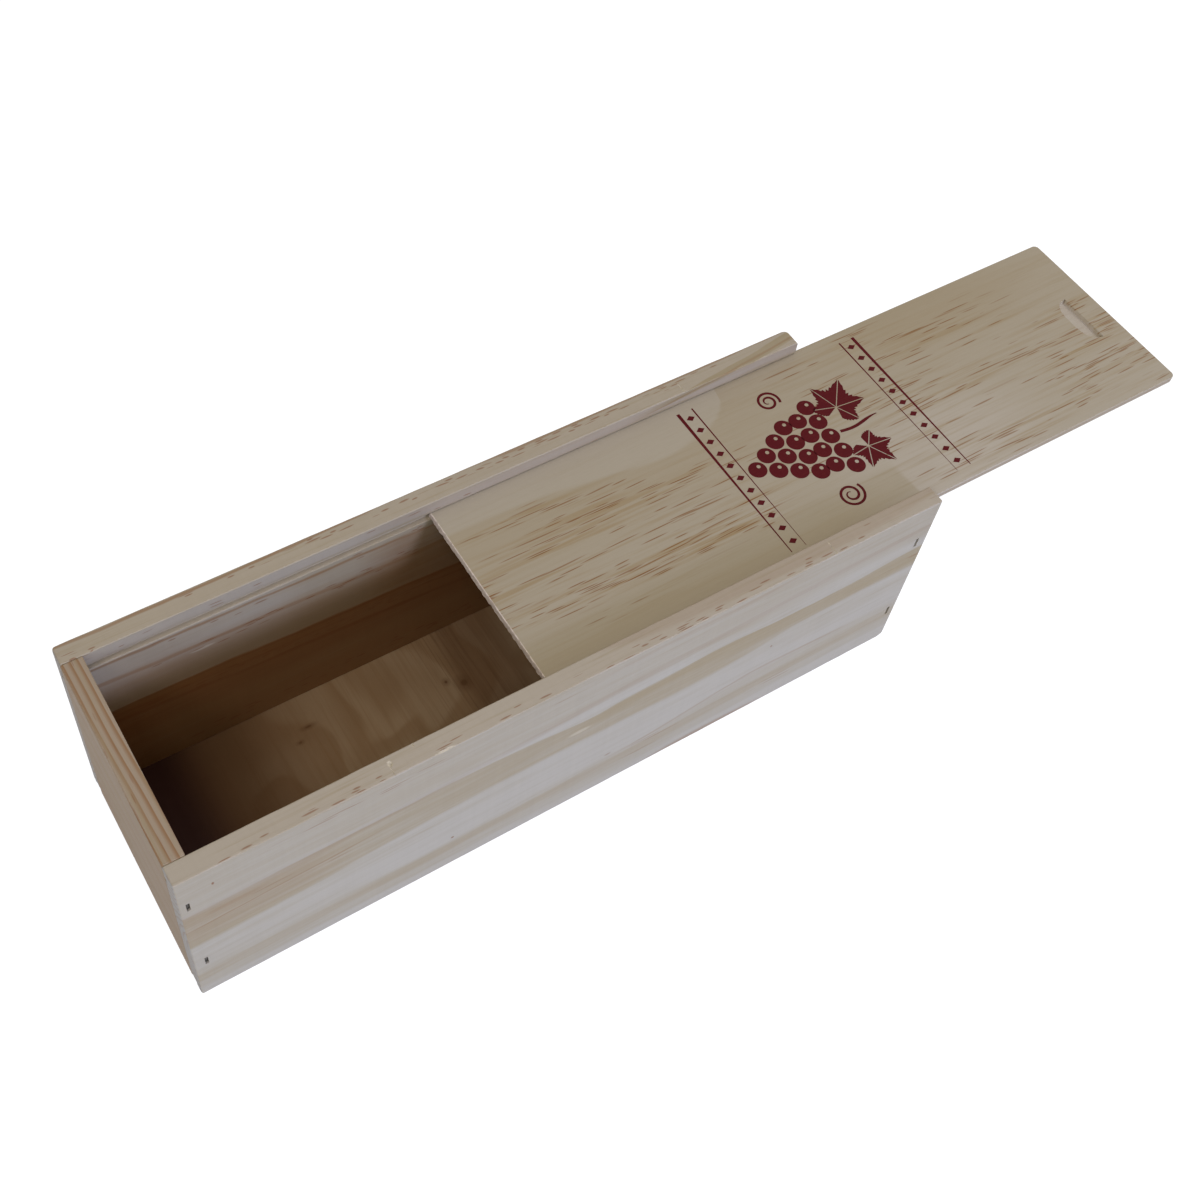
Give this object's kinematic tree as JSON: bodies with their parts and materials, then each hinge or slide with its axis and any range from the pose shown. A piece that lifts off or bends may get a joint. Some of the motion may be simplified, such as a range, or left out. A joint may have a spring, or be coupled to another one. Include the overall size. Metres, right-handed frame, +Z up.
{
  "type": "sliding lid wooden box",
  "caption": "Long wooden presentation box with a thin lid that slides in grooves and leaves over the lower end board.",
  "frame": {"origin": "centre of the box's underside, midway between its ends and sides", "axes": "+Z up; +X along the box towards the end where the lid slides out; +Y from the front side to the back side"},
  "size_m": [0.4994, 0.111, 0.105],
  "materials": {
    "pine_side": "planed, unfinished pine",
    "pine_end": "planed, unfinished pine",
    "plywood_bottom": "rotary cut plywood, unfinished",
    "plywood_lid": "rotary cut plywood, sanded",
    "staple_wire": "galvanised wire"
  },
  "bodies": {
    "box": {"bottom_panel": "plywood_bottom", "end_closed": "pine_end", "end_open": "pine_end", "side_back": "pine_side", "side_front": "pine_side", "staple_back_closed_high": "staple_wire", "staple_back_closed_low": "staple_wire", "staple_back_open_high": "staple_wire", "staple_back_open_low": "staple_wire", "staple_bottom_back_closed": "staple_wire", "staple_bottom_back_middle": "staple_wire", "staple_bottom_back_open": "staple_wire", "staple_bottom_closed": "staple_wire", "staple_bottom_front_closed": "staple_wire", "staple_bottom_front_middle": "staple_wire", "staple_bottom_front_open": "staple_wire", "staple_bottom_open": "staple_wire", "staple_front_closed_high": "staple_wire", "staple_front_closed_low": "staple_wire", "staple_front_open_high": "staple_wire", "staple_front_open_low": "staple_wire"},
    "lid": {"lid": "plywood_lid"}
  },
  "joints": [
    {"name": "lid_slide", "type": "slide", "parent": "box", "child": "lid", "axis": [1, 0, 0], "range_m": [-0.1501, 0.191]}
  ]
}
